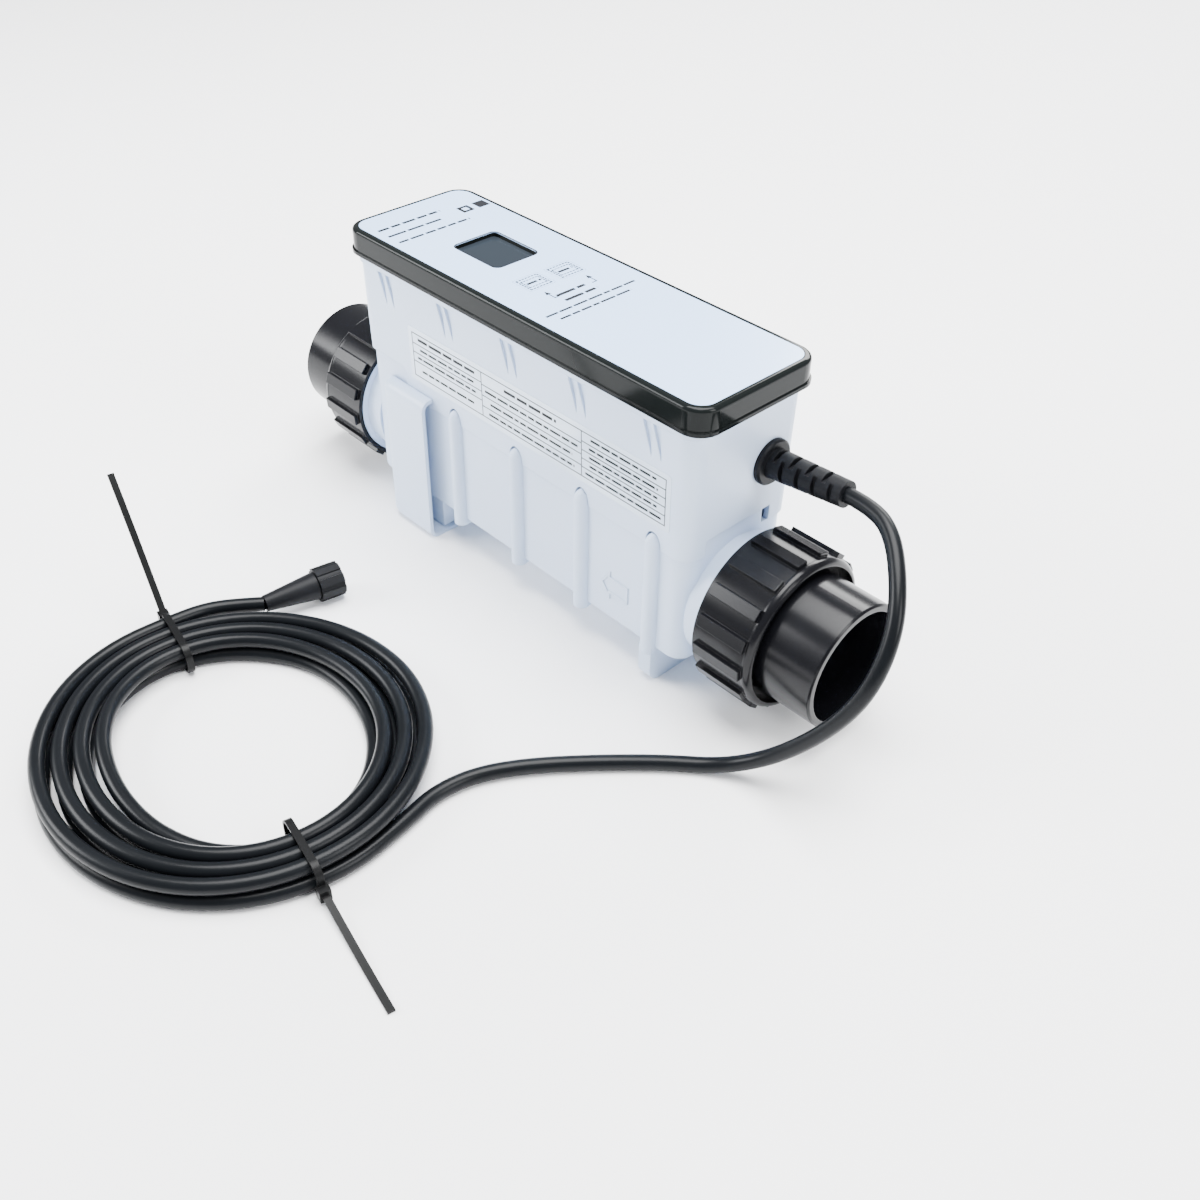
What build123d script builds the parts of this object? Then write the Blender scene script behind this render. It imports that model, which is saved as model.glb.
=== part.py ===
from build123d import *
from math import atan2, cos, degrees, dist, pi, radians, sin, tan
import os

# Salt chlorine generator: an in-line electrolytic cell with its electronics on top.
# Millimetres. X runs along the water pipe and Y from front to back. Z is up from the floor
# that the unit stands on, and the origin is on that floor, below the middle of the lid.

# Cell housing
axis_height = 51.3          # water axis above the floor
cell_half_x = 127.0
cell_half_y = 37.0
cell_bottom = 22.0
cell_top = 86.2
cell_corner = 10.0
cell_wall = 4.2
cell_floor = 5.0
bottom_round = 3.0
ledge_height = cell_top - 7.2    # the terminal plate's gasket lies on this ledge
ledge_width = 2.5
riser_end = -cell_half_x + 36.0  # the left end of the housing rises into the upper shell
riser_top = cell_top + 17.0
riser_round = 3.5
riser_floor = 5.0
tongue_y = (-24.0, 17.0)    # tab on the right end that fills the shell's notch
tongue_top = cell_top + 9.0
tongue_thickness = 3.3
neck_r = 35.0
neck_end = cell_half_x + 11.4
spigot_r = 38.8             # over the threads
spigot_end = neck_end + 16.1
waterway_r = 26.0

# Belts that wrap the cell housing, and the foot below the last one
belt_pitch = 51.0
belt_centre = 3.0
belt_numbers = (-1, 0, 1, 2)
belt_r = 4.5
belt_bottom = cell_bottom - 2.5
belt_dome = 7.0
belt_top = cell_top + 8.8
foot_half_y = cell_half_y + 2.6
foot_round = 8.0

# Flow arrow, an embossed outline
arrow_tip_x = 69.0
arrow_height = 45.0
arrow_head = (7.0, 9.0)     # length and half width
arrow_shaft = (13.0, 5.3)   # length and half width
arrow_line = 1.3
arrow_relief = 0.6

# Electronics shell
shell_half_x = cell_half_x + 2.0
shell_half_y = cell_half_y + 2.0
shell_seam = 0.3
shell_bottom = cell_top + shell_seam
shell_height = 74.5
shell_top = shell_bottom + shell_height
shell_draft = 1.0           # degrees, narrowing downwards
shell_corner = 10.0
shell_wall = 3.0
rim_height = 4.0
rim_flare = 1.2
notch_gap = 0.5
key_slot = 4.5              # opening left beside the tongue
lug_size = (12.0, 8.0, 4.0)
lug_x = (-78.0, 76.0)

# Pairs of tapered flutes in the shell's long faces
flute_centre = 3.3
flute_numbers = (-2, -1, 0, 1, 2)
flute_spacing = 6.5
flute_width = 5.4
flute_lean = 6.2
flute_top = shell_top - 5.2
flute_tip = shell_top - 23.5
flute_depth = 1.5

# Lid
lid_half_x = shell_half_x + 4.45
lid_half_y = shell_half_y + 2.3
lid_height = 14.0
lid_top = shell_top + lid_height
lid_corner = 12.0
lid_edge = 2.2
lid_border = 3.4
panel_corner = 9.0
panel_thickness = 0.5
deck_thickness = 4.0
lid_wall = 8.4
lid_flare = 0.7
lid_flare_height = 2.0
gasket_width = 1.8
gasket_height = 1.2
gasket_inset = 5.0

# Display and keys
window_x = (-72.0, -36.0)
window_y = (-14.4, 14.4)
window_recess = 2.4
window_thickness = 1.6
window_gap = 0.2
window_corner = 3.0
key_x = (-19.3, -4.4)
less_key_y = (-18.6, -1.8)
more_key_y = (2.6, 19.6)
key_gap = 0.15
key_round = 1.5
key_lip = 1.0
key_lip_thickness = 1.3
key_travel = 0.6
switch_size = 6.0
switch_plunger_r = 1.7

# Circuit boards
board_thickness = 1.6
control_board_x = (-90.0, 50.0)
control_board_half_y = lid_half_y - lid_wall - 2.9
control_board_z = shell_top + 0.6
control_post_inset = 6.0
driver_board_x = (-70.0, 110.0)
driver_board_half_y = shell_half_y - shell_wall - 8.0
driver_board_z = cell_top + 21.8
post_r = 3.0
screw_r = 1.5
screw_head_r = 2.8
screw_head_height = 1.8
screw_bite = 5.0
screw_gap = 0.2
thread_gap = 0.05
capacitor_x = (20.0, 42.0, 64.0)
capacitor_r = 8.0
capacitor_height = 26.0
relay_size = (30.0, 16.0, 18.0)

# Flow switch under the left end
flow_x = -cell_half_x + 41.0
cover_x = (flow_x - 22.0, flow_x + 18.6)
cover_half_y = cell_half_y + 9.0
cover_top = cell_top + 6.8
cover_wall = 2.2
cover_side_round = 9.0
cover_edge_round = 6.0
cover_gap = 0.3
base_x = (flow_x - 16.0, flow_x + 16.0)
base_half_y = cell_half_y - 3.0
base_gap = 0.8
seal_thickness = 1.2
stem_r = 7.7
stem_gap = 0.3
stem_top = cell_bottom + cell_floor + 3.0
ear_top = stem_top + 7.5
ear_thickness = 2.85
ear_width = 8.0
pivot_height = stem_top + 3.5
pin_r = 1.5
pin_gap = 0.05
ear_gap = 0.2
paddle_half_y = 14.0
paddle_hub_half_y = 4.8
paddle_thickness = 2.0
paddle_clear = 2.2          # the blade swings past the ears' corners
paddle_top = ledge_height - 9.0
flow_screw_half = (12.0, 18.0)

# Electrode stack
plate_x = (flow_x + 28.0, cell_half_x - 22.0)
plate_z = (cell_bottom + cell_floor + 5.0, ledge_height - 9.0)
plate_thickness = 1.0
plate_pitch = 6.0
plate_count = 9
tab_length = 8.0
bus_thickness = 3.0
anode_tab_x = plate_x[1] - 15.0
cathode_tab_x = plate_x[0] + 8.0
comb_x = (plate_x[0] + 28.0, plate_x[1] - 35.0)
comb_width = 6.0
comb_depth = 4.0
stud_r = 3.0
stud_top = cell_top + 11.8
stud_gap = 0.1
nut_across_flats = 10.0
nut_height = 5.0
probe_x = plate_x[1] + 9.0
probe_r = 3.0

# Unions
port_reach = 51.0           # from the spigot's end to the pipe socket's mouth
tail_r = 34.0
tail_lip = 1.0
socket_r = 30.3             # takes pipe of 60.3 outside diameter
socket_depth = 38.0
flange_r = 38.6
flange_thickness = 4.5
seal_gap = 1.0
union_x = (neck_end - 0.3, neck_end + 36.1)
union_r = 41.6
union_grip_r = 43.9
union_mouth_r = 38.9
union_recess_r = 38.2
union_thread_r = 39.2
union_web = 5.2
union_gap = 0.3
union_shoulder = 4.5
tail_gap = 0.4
grip_count = 16
grip_width = 6.5
grip_x = (union_x[0] + 2.4, union_x[1] - 4.5)
grip_angle = 4.4
seal_r = 30.0
seal_section_r = 1.3
seal_groove = (1.5, 1.8)    # half width and depth

# Cord, its strain relief, coil and connector
cord_d = 8.0
relief_y = 17.0
relief_z = shell_top - 37.1
relief_flange_r = 12.2
relief_flange = 3.0
relief_r = (8.0, 6.7)
relief_length = 45.0
relief_tilt = 5.0
relief_pitch = 9.5
relief_slot = (2.4, 7.0, 3.2)
relief_sleeve_r = 8.0
relief_sleeve = 12.0
relief_nut_r = 12.0
relief_nut_thickness = 5.0
coil_centre = (8.0, -225.0)
coil_r = (60.0, 103.0)
coil_height = 17.0
coil_round = 7.0
plug_point = (-65.6, -128.4, 10.2)
plug_angle = 79.6           # heading of the plug's axis, degrees from +X
boot_length = 30.0
boot_r = 8.0
plug_nut = 14.5
plug_nut_r = 9.1
plug_grip_r = 9.7
plug_grip_width = 4.6
plug_bore_r = 7.8
plug_web = 3.4
plug_body_r = 6.2
plug_flange_r = 7.4
plug_stub_r = 5.2
plug_gap = 0.3
pin_circle_r = 3.0
contact_r = 0.8

# Cable ties
tie_width = 3.6
tie_thickness = 1.2
tie_head = (5.0, 6.5)
tie_inner_r = 66.0
front_tie_angle = -11.0
rear_tie_angle = 169.0

# Rating label
label_x = (-84.5, 115.6)
label_z = (100.0, 133.0)
label_thickness = 0.2

os.makedirs("parts", exist_ok=True)


def save(piece, name):
    piece.part.label = name
    export_step(piece.part, f"parts/{name}.step")


def block(x, y, z, mode=Mode.ADD):
    with Locations((sum(x) / 2, sum(y) / 2, sum(z) / 2)):
        Box(abs(x[1] - x[0]), abs(y[1] - y[0]), abs(z[1] - z[0]), mode=mode)


def post(x, y, z, radius, mode=Mode.ADD):
    with Locations((x, y, sum(z) / 2)):
        Cylinder(radius, z[1] - z[0], mode=mode)


def slab(half_x, half_y, corner, z, mode=Mode.ADD):
    with BuildSketch(Plane.XY.offset(z[0])) as outline:
        RectangleRounded(2 * half_x, 2 * half_y, corner)
    extrude(outline.sketch, amount=z[1] - z[0], mode=mode)


def pipe_disc(side, x, radius, mode=Mode.ADD):
    with BuildSketch(Plane(origin=(side * x[0], 0, axis_height), z_dir=(side, 0, 0))) as outline:
        Circle(radius)
    extrude(outline.sketch, amount=x[1] - x[0], mode=mode)


def shell_half_y_at(z):
    return shell_half_y - (shell_top - z) * tan(radians(shell_draft))


belts = [belt_centre + belt_pitch * number for number in belt_numbers]
foot_x = belts[-1]
recess_half_y = cell_half_y - cell_wall
cavity_half_x = cell_half_x - cell_wall - ledge_width
cavity_half_y = recess_half_y - ledge_width
cavity_floor = cell_bottom + cell_floor
flow_screw_places = [(flow_x + x * flow_screw_half[0], y * flow_screw_half[1])
                     for x in (-1, 1) for y in (-1, 1)]

# ---------------------------------------------------------------- cell housing
# Each belt ends in a pointed dome: an arc that starts upright and is stepped in four rings.
dome_arc_r = (belt_r ** 2 + belt_dome ** 2) / (2 * belt_r)
dome_rings = [(height, (dome_arc_r ** 2 - height ** 2) ** 0.5 - dome_arc_r + belt_r)
              for height in (belt_dome * share for share in (0, 0.35, 0.65, 0.9))]

with BuildPart() as belt_set:
    for belt in belts:
        for side in (-1, 1):
            post(belt, side * cell_half_y, (belt_bottom, belt_top - belt_dome), belt_r)
            for low, high in zip(dome_rings, dome_rings[1:]):
                with Locations((belt, side * cell_half_y, belt_top - belt_dome + (low[0] + high[0]) / 2)):
                    Cone(low[1], high[1], high[0] - low[0])
        block((belt - belt_r + 0.4, belt + belt_r - 0.4), (-cell_half_y - 1, cell_half_y + 1),
              (belt_bottom, cell_bottom + 1))
    block((belts[0] - 2 * belt_r, belts[-1] + 2 * belt_r), (-recess_half_y - 0.5, recess_half_y + 0.5),
          (cell_bottom + 1, belt_top + 1), Mode.SUBTRACT)

with BuildPart() as cell_body:
    slab(cell_half_x, cell_half_y, cell_corner, (cell_bottom, cell_top))
    fillet(cell_body.edges().group_by(Axis.Z)[0], bottom_round)
    with BuildSketch(Plane.XY.offset(cell_top)):
        RectangleRounded(2 * cell_half_x, 2 * cell_half_y, cell_corner)
        with Locations((riser_end + cell_half_x, 0)):
            Rectangle(2 * cell_half_x, 3 * cell_half_y, mode=Mode.SUBTRACT)
    extrude(amount=riser_top - cell_top)
    fillet(cell_body.edges().group_by(Axis.Z)[-1].sort_by(Axis.X)[-1], riser_round)
    block((cell_half_x - tongue_thickness, cell_half_x), tongue_y, (cell_top - 1, tongue_top))
    block((-cavity_half_x, cavity_half_x), (-cavity_half_y, cavity_half_y),
          (cavity_floor, ledge_height + 1), Mode.SUBTRACT)
    block((riser_end + 0.5, cell_half_x - cell_wall), (-recess_half_y, recess_half_y),
          (ledge_height, cell_top + 1), Mode.SUBTRACT)
    block((-cell_half_x + cell_wall, riser_end - cell_wall), (-recess_half_y, recess_half_y),
          (ledge_height + riser_floor, riser_top + 1), Mode.SUBTRACT)
    block((riser_end - 20, riser_end + 0.5), (-cavity_half_y, cavity_half_y),
          (ledge_height - 0.5, ledge_height + 1))
    add(belt_set.part)
    with BuildSketch(Plane.YZ.offset(foot_x - belt_r + 0.2)) as foot:
        with Locations((0, (cell_bottom + 1) / 2)):
            Rectangle(2 * foot_half_y, cell_bottom + 1)
        fillet(foot.vertices().group_by(Axis.Y)[0], foot_round)
    extrude(amount=2 * belt_r - 0.4)
    for side in (-1, 1):
        pipe_disc(side, (cell_half_x - 1, neck_end), neck_r)
        pipe_disc(side, (neck_end, spigot_end), spigot_r)
        pipe_disc(side, (cavity_half_x - 1, spigot_end), waterway_r, Mode.SUBTRACT)
        with BuildSketch(Plane(origin=(side * spigot_end, 0, axis_height), z_dir=(side, 0, 0))):
            Circle(seal_r + seal_groove[0])
            Circle(seal_r - seal_groove[0], mode=Mode.SUBTRACT)
        extrude(amount=-seal_groove[1], mode=Mode.SUBTRACT)
    post(flow_x, 0, (cell_bottom - 1, cavity_floor + 1), stem_r + stem_gap, Mode.SUBTRACT)
    for place in flow_screw_places:
        post(*place, (cell_bottom, cell_bottom + screw_bite - 1), screw_r + thread_gap, Mode.SUBTRACT)
    with BuildSketch(Plane(origin=(arrow_tip_x, -cell_half_y, arrow_height), x_dir=(1, 0, 0),
                           z_dir=(0, -1, 0))):
        with BuildLine():
            head_x, head_y = arrow_head
            tail_x = head_x + arrow_shaft[0]
            shaft_y = arrow_shaft[1]
            Polyline((0, 0), (head_x, head_y), (head_x, shaft_y), (tail_x, shaft_y), (tail_x, -shaft_y),
                     (head_x, -shaft_y), (head_x, -head_y), (0, 0))
        make_face()
        offset(amount=-arrow_line, kind=Kind.INTERSECTION, mode=Mode.SUBTRACT)
    extrude(amount=arrow_relief)
save(cell_body, "cell_body")

# ------------------------------------------------ terminal plate and its gasket
plate_left = riser_end + 0.5
plate_right = cell_half_x - cell_wall
gasket_z = (ledge_height, ledge_height + 1.5)
lid_plate_z = (gasket_z[1], cell_top - 0.2)
plate_gap = 0.2
plate_seat_x = (plate_left + plate_gap, plate_right - plate_gap)
plate_seat_y = (-recess_half_y + plate_gap, recess_half_y - plate_gap)
studs = (anode_tab_x + tab_length / 2, cathode_tab_x + tab_length / 2)
bus_z = (plate_z[1] + bus_thickness, plate_z[1] + 2 * bus_thickness)
lugs = [(x, side * (recess_half_y - lug_size[1] / 2)) for x in lug_x for side in (-1, 1)]

with BuildPart() as cell_gasket:
    block(plate_seat_x, plate_seat_y, gasket_z)
    block((plate_left + ledge_width, cavity_half_x), (-cavity_half_y, cavity_half_y), gasket_z, Mode.SUBTRACT)
save(cell_gasket, "cell_gasket")

with BuildPart() as terminal_plate:
    block(plate_seat_x, plate_seat_y, lid_plate_z)
    for x in studs:
        post(x, 0, (lid_plate_z[0] - 1, lid_plate_z[1] + 1), stud_r + stud_gap, Mode.SUBTRACT)
    post(probe_x, 0, (lid_plate_z[0] - 1, lid_plate_z[1] + 1), probe_r + stud_gap, Mode.SUBTRACT)
    for x, y in lugs:
        post(x, y, (lid_plate_z[1] - screw_bite, lid_plate_z[1]), screw_r + thread_gap, Mode.SUBTRACT)
save(terminal_plate, "terminal_plate")

# --------------------------------------------------------------- electrode stack
plate_places = [(number - (plate_count - 1) / 2) * plate_pitch for number in range(plate_count)]
cathode_places = plate_places[0::2]
anode_places = plate_places[1::2]


def electrode(places, tab_x):
    with BuildPart() as plates:
        for y in places:
            across = (y - plate_thickness / 2, y + plate_thickness / 2)
            block(plate_x, across, plate_z)
            block((tab_x, tab_x + tab_length), across, (plate_z[1], bus_z[0]))
    return plates


def bus_bar(places, tab_x):
    with BuildPart() as bar:
        block((tab_x, tab_x + tab_length), (places[0] - 1, places[-1] + 1), bus_z)
    return bar


save(electrode(anode_places, anode_tab_x), "anode_plates")
save(electrode(cathode_places, cathode_tab_x), "cathode_plates")
save(bus_bar(anode_places, anode_tab_x), "anode_bus")
save(bus_bar(cathode_places, cathode_tab_x), "cathode_bus")

with BuildPart() as plate_combs:
    for x in comb_x:
        block((x, x + comb_width), (-cavity_half_y, cavity_half_y), (cavity_floor, plate_z[0] + comb_depth))
        for y in plate_places:
            half_slot = plate_thickness / 2 + stud_gap
            block((x - 1, x + comb_width + 1), (y - half_slot, y + half_slot),
                  (plate_z[0], plate_z[0] + comb_depth + 1), Mode.SUBTRACT)
save(plate_combs, "plate_combs")

with BuildPart() as terminal_studs:
    for x in studs:
        post(x, 0, (bus_z[1], stud_top), stud_r)
save(terminal_studs, "terminal_studs")

with BuildPart() as terminal_nuts:
    for x in studs:
        with BuildSketch(Plane(origin=(x, 0, lid_plate_z[1]))):
            RegularPolygon(nut_across_flats / 2, 6, major_radius=False)
            Circle(stud_r, mode=Mode.SUBTRACT)
        extrude(amount=nut_height)
save(terminal_nuts, "terminal_nuts")

with BuildPart() as temperature_probe:
    post(probe_x, 0, (axis_height, lid_plate_z[1]), probe_r)
    post(probe_x, 0, (lid_plate_z[1], lid_plate_z[1] + nut_height), 2 * probe_r)
save(temperature_probe, "temperature_probe")

# ------------------------------------------------------------- electronics shell
shell_depth = shell_top - shell_bottom
lug_z = (shell_bottom, shell_bottom + lug_size[2])
relief_x = shell_half_x - (shell_top - relief_z) * tan(radians(shell_draft)) + 0.25

with BuildPart() as flute_cutter:
    with BuildSketch(Plane(origin=(0, -shell_half_y - 0.5, 0), x_dir=(1, 0, 0), z_dir=(0, -1, 0))):
        for number in flute_numbers:
            for step in (-0.5, 0.5):
                tip_x = flute_centre + belt_pitch * number + step * flute_spacing
                with BuildLine():
                    Polyline((tip_x, flute_tip), (tip_x - flute_lean, flute_top),
                             (tip_x - flute_lean + flute_width, flute_top), (tip_x, flute_tip))
                make_face()
    extrude(amount=-flute_depth - 0.5)
    mirror(about=Plane.XZ)

with BuildPart() as electronics_shell:
    with BuildSketch(Plane(origin=(0, 0, shell_top), z_dir=(0, 0, -1))):
        RectangleRounded(2 * shell_half_x, 2 * shell_half_y, shell_corner)
    extrude(amount=shell_depth, taper=shell_draft)
    slab(shell_half_x + rim_flare, shell_half_y + rim_flare, shell_corner + rim_flare,
         (shell_top - rim_height, shell_top))
    with BuildSketch(Plane(origin=(0, 0, shell_top), z_dir=(0, 0, -1))):
        RectangleRounded(2 * (shell_half_x - shell_wall), 2 * (shell_half_y - shell_wall),
                         shell_corner - shell_wall)
    extrude(amount=shell_depth, taper=shell_draft, mode=Mode.SUBTRACT)
    with BuildSketch(Plane.XZ.offset(-2 * shell_half_y)) as step:
        with Locations((riser_end + notch_gap - shell_half_x / 2, riser_top + shell_seam - shell_half_x / 2)):
            Rectangle(shell_half_x, shell_half_x)
        fillet(step.vertices().group_by(Axis.Y)[-1].sort_by(Axis.X)[-1], riser_round)
    extrude(amount=4 * shell_half_y, mode=Mode.SUBTRACT)
    block((cell_half_x - 2 * tongue_thickness, shell_half_x),
          (tongue_y[0] - notch_gap, tongue_y[1] + key_slot),
          (shell_bottom - 1, tongue_top + shell_seam), Mode.SUBTRACT)
    for belt in belts:
        for side in (-1, 1):
            with BuildSketch(Plane(origin=(belt, side * cell_half_y, shell_bottom - 1))):
                Rectangle(2 * (belt_r + notch_gap), 2 * (belt_r + notch_gap))
            extrude(amount=belt_top - belt_dome - shell_bottom + 1, mode=Mode.SUBTRACT)
            with BuildSketch(Plane(origin=(belt, side * (cell_half_y - 6), belt_top - belt_dome),
                                   x_dir=(1, 0, 0), z_dir=(0, side, 0))):
                Ellipse(belt_r + notch_gap, belt_dome + notch_gap)
            extrude(amount=12, mode=Mode.SUBTRACT)
    add(flute_cutter.part, mode=Mode.SUBTRACT)
    for x, y in lugs:
        inward = y / abs(y)
        lug_y = (inward * (recess_half_y - lug_size[1]), inward * (shell_half_y_at(shell_bottom) - 1))
        block((x - lug_size[0] / 2, x + lug_size[0] / 2), lug_y, lug_z)
        post(x, y, (lug_z[0] - 1, lug_z[1] + 1), screw_r + screw_gap, Mode.SUBTRACT)
    with BuildSketch(Plane(origin=(shell_half_x + 1, relief_y, relief_z), z_dir=(-1, 0, 0))):
        Circle(relief_sleeve_r + 0.2)
    extrude(amount=2 * shell_wall + 2, mode=Mode.SUBTRACT)
save(electronics_shell, "electronics_shell")

with BuildPart() as shell_screws:
    for x, y in lugs:
        post(x, y, (lid_plate_z[1] - screw_bite + 0.5, lug_z[1]), screw_r)
        post(x, y, (lug_z[1], lug_z[1] + screw_head_height), screw_head_r)
save(shell_screws, "shell_screws")

# --------------------------------------------------------------------------- lid
deck_top = lid_top - panel_thickness
deck_bottom = deck_top - deck_thickness
panel_half_x = lid_half_x - lid_border
panel_half_y = lid_half_y - lid_border
cavity_x = lid_half_x - lid_wall
cavity_y = lid_half_y - lid_wall
seal_half_x = lid_half_x - gasket_inset
seal_half_y = lid_half_y - gasket_inset
window_middle = (sum(window_x) / 2, sum(window_y) / 2)
window_size = (window_x[1] - window_x[0], window_y[1] - window_y[0])
key_size_x = key_x[1] - key_x[0]
keys = {"less_key": less_key_y, "more_key": more_key_y}


def key_outline(y, grow, z, mode=Mode.ADD):
    with BuildSketch(Plane(origin=(sum(key_x) / 2, sum(y) / 2, z[0]))) as outline:
        RectangleRounded(key_size_x + 2 * grow, y[1] - y[0] + 2 * grow, key_round)
    extrude(outline.sketch, amount=z[1] - z[0], mode=mode)


def window_outline(z, mode=Mode.ADD):
    with BuildSketch(Plane(origin=(*window_middle, z[0]))) as outline:
        RectangleRounded(*window_size, window_corner)
    extrude(outline.sketch, amount=z[1] - z[0], mode=mode)


with BuildPart() as lid_bezel:
    slab(lid_half_x, lid_half_y, lid_corner, (shell_top, lid_top))
    fillet(lid_bezel.edges().group_by(Axis.Z)[-1], lid_edge)
    slab(lid_half_x + lid_flare, lid_half_y + lid_flare, lid_corner,
         (shell_top, shell_top + lid_flare_height))
    slab(panel_half_x, panel_half_y, panel_corner, (deck_top, lid_top), Mode.SUBTRACT)
    slab(cavity_x, cavity_y, shell_corner, (shell_top, deck_bottom), Mode.SUBTRACT)
    slab(seal_half_x, seal_half_y, shell_corner, (shell_top, shell_top + gasket_height), Mode.SUBTRACT)
    slab(seal_half_x - gasket_width, seal_half_y - gasket_width, shell_corner - gasket_width,
         (shell_top, shell_top + gasket_height))
    slab(cavity_x, cavity_y, shell_corner, (shell_top, deck_bottom), Mode.SUBTRACT)
    window_outline((deck_bottom - 1, lid_top), Mode.SUBTRACT)
    for across in keys.values():
        key_outline(across, key_gap, (deck_bottom - 1, lid_top), Mode.SUBTRACT)
save(lid_bezel, "lid_bezel")

with BuildPart() as lid_gasket:
    slab(seal_half_x, seal_half_y, shell_corner, (shell_top, shell_top + gasket_height))
    slab(seal_half_x - gasket_width, seal_half_y - gasket_width, shell_corner - gasket_width,
         (shell_top, shell_top + gasket_height), Mode.SUBTRACT)
save(lid_gasket, "lid_gasket")

with BuildPart() as overlay_panel:
    slab(panel_half_x - window_gap, panel_half_y - window_gap, panel_corner - window_gap, (deck_top, lid_top))
    window_outline((deck_top - 1, lid_top + 1), Mode.SUBTRACT)
    for across in keys.values():
        key_outline(across, key_gap, (deck_top - 1, lid_top + 1), Mode.SUBTRACT)
save(overlay_panel, "overlay_panel")

control_top = control_board_z + board_thickness
module_top = lid_top - window_recess - window_thickness


def window_fill(z):
    with BuildPart() as fill:
        with BuildSketch(Plane(origin=(*window_middle, z[0]))):
            RectangleRounded(window_size[0] - 2 * window_gap, window_size[1] - 2 * window_gap, window_corner)
        extrude(amount=z[1] - z[0])
    return fill


save(window_fill((module_top, module_top + window_thickness)), "display_window")
save(window_fill((control_top, module_top)), "display_module")

key_lip_bottom = deck_bottom - key_lip_thickness - window_gap
for name, across in keys.items():
    with BuildPart() as key_cap:
        key_outline(across, 0, (key_lip_bottom, lid_top))
        key_outline(across, key_lip, (key_lip_bottom, key_lip_bottom + key_lip_thickness))
    save(key_cap, name)

with BuildPart() as key_switches:
    for across in keys.values():
        middle = (sum(key_x) / 2, sum(across) / 2)
        plunger_top = key_lip_bottom - key_travel - 0.05
        with Locations((*middle, control_top + switch_size / 4)):
            Box(switch_size, switch_size, switch_size / 2)
        post(*middle, (control_top, plunger_top), switch_plunger_r)
save(key_switches, "key_switches")


# ---------------------------------------------------------------- circuit boards
def board(x, half_y, z, holes):
    with BuildPart() as sheet:
        block(x, (-half_y, half_y), (z, z + board_thickness))
        for place in holes:
            post(*place, (z - 1, z + board_thickness + 1), screw_r + screw_gap, Mode.SUBTRACT)
    return sheet


def corner_places(x, half_y):
    inset = control_post_inset
    return [(across, side * (half_y - inset)) for across in (x[0] + inset, x[1] - inset) for side in (-1, 1)]


def hollow_posts(places, z, hole):
    with BuildPart() as posts:
        for place in places:
            post(*place, z, post_r)
            post(*place, hole, screw_r + thread_gap, Mode.SUBTRACT)
    return posts


control_places = corner_places(control_board_x, control_board_half_y)
driver_places = corner_places(driver_board_x, driver_board_half_y)
driver_top = driver_board_z + board_thickness

save(board(control_board_x, control_board_half_y, control_board_z, control_places), "control_board")
save(hollow_posts(control_places, (control_top, deck_bottom), (control_top, control_top + screw_bite)),
     "control_board_posts")
save(board(driver_board_x, driver_board_half_y, driver_board_z, driver_places), "driver_board")
save(hollow_posts(driver_places, (lid_plate_z[1], driver_board_z),
                  (driver_board_z - screw_bite, driver_board_z)), "driver_board_posts")

with BuildPart() as control_board_screws:
    for place in control_places:
        post(*place, (control_board_z, control_top + screw_bite - 0.5), screw_r)
        post(*place, (control_board_z - screw_head_height, control_board_z), screw_head_r)
save(control_board_screws, "control_board_screws")

with BuildPart() as driver_board_screws:
    for place in driver_places:
        post(*place, (driver_board_z - screw_bite + 0.5, driver_top), screw_r)
        post(*place, (driver_top, driver_top + screw_head_height), screw_head_r)
save(driver_board_screws, "driver_board_screws")

with BuildPart() as capacitors:
    for x in capacitor_x:
        post(x, 0, (driver_top, driver_top + capacitor_height), capacitor_r)
save(capacitors, "capacitors")

with BuildPart() as relay:
    with Locations((driver_board_x[0] + relay_size[0], 0, driver_top + relay_size[2] / 2)):
        Box(*relay_size)
save(relay, "relay")

# ------------------------------------------------------------------- flow switch
saddle_inner_y = shell_half_y_at(cover_top) + cover_gap


def saddle_block(x, half_y, z, side_round, edge_round):
    with BuildPart() as saddle:
        block(x, (-half_y, half_y), z)
        fillet(saddle.edges().filter_by(Axis.Z).group_by(Axis.X)[0], side_round)
        fillet(saddle.faces().sort_by(Axis.Z)[0].edges().sort_by(Axis.X)[:-1], edge_round)
        fillet(saddle.faces().sort_by(Axis.Z)[-1].edges().sort_by(Axis.X)[:-1], edge_round)
    return saddle.part


cover_outside = saddle_block(cover_x, cover_half_y, (0, cover_top), cover_side_round, cover_edge_round)
cover_inside = saddle_block((cover_x[0] + cover_wall, cover_x[1] + 1), cover_half_y - cover_wall,
                            (cover_wall, cover_top - cover_wall), cover_side_round - cover_wall,
                            cover_edge_round - cover_wall)

with BuildPart() as flow_cover:
    add(cover_outside)
    add(cover_inside, mode=Mode.SUBTRACT)
    block((cover_x[0] - 1, cover_x[1] + 1), (-saddle_inner_y, saddle_inner_y),
          (cell_bottom - cover_gap, cover_top + 1), Mode.SUBTRACT)
save(flow_cover, "flow_cover")

base_top = cell_bottom - seal_thickness

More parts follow.
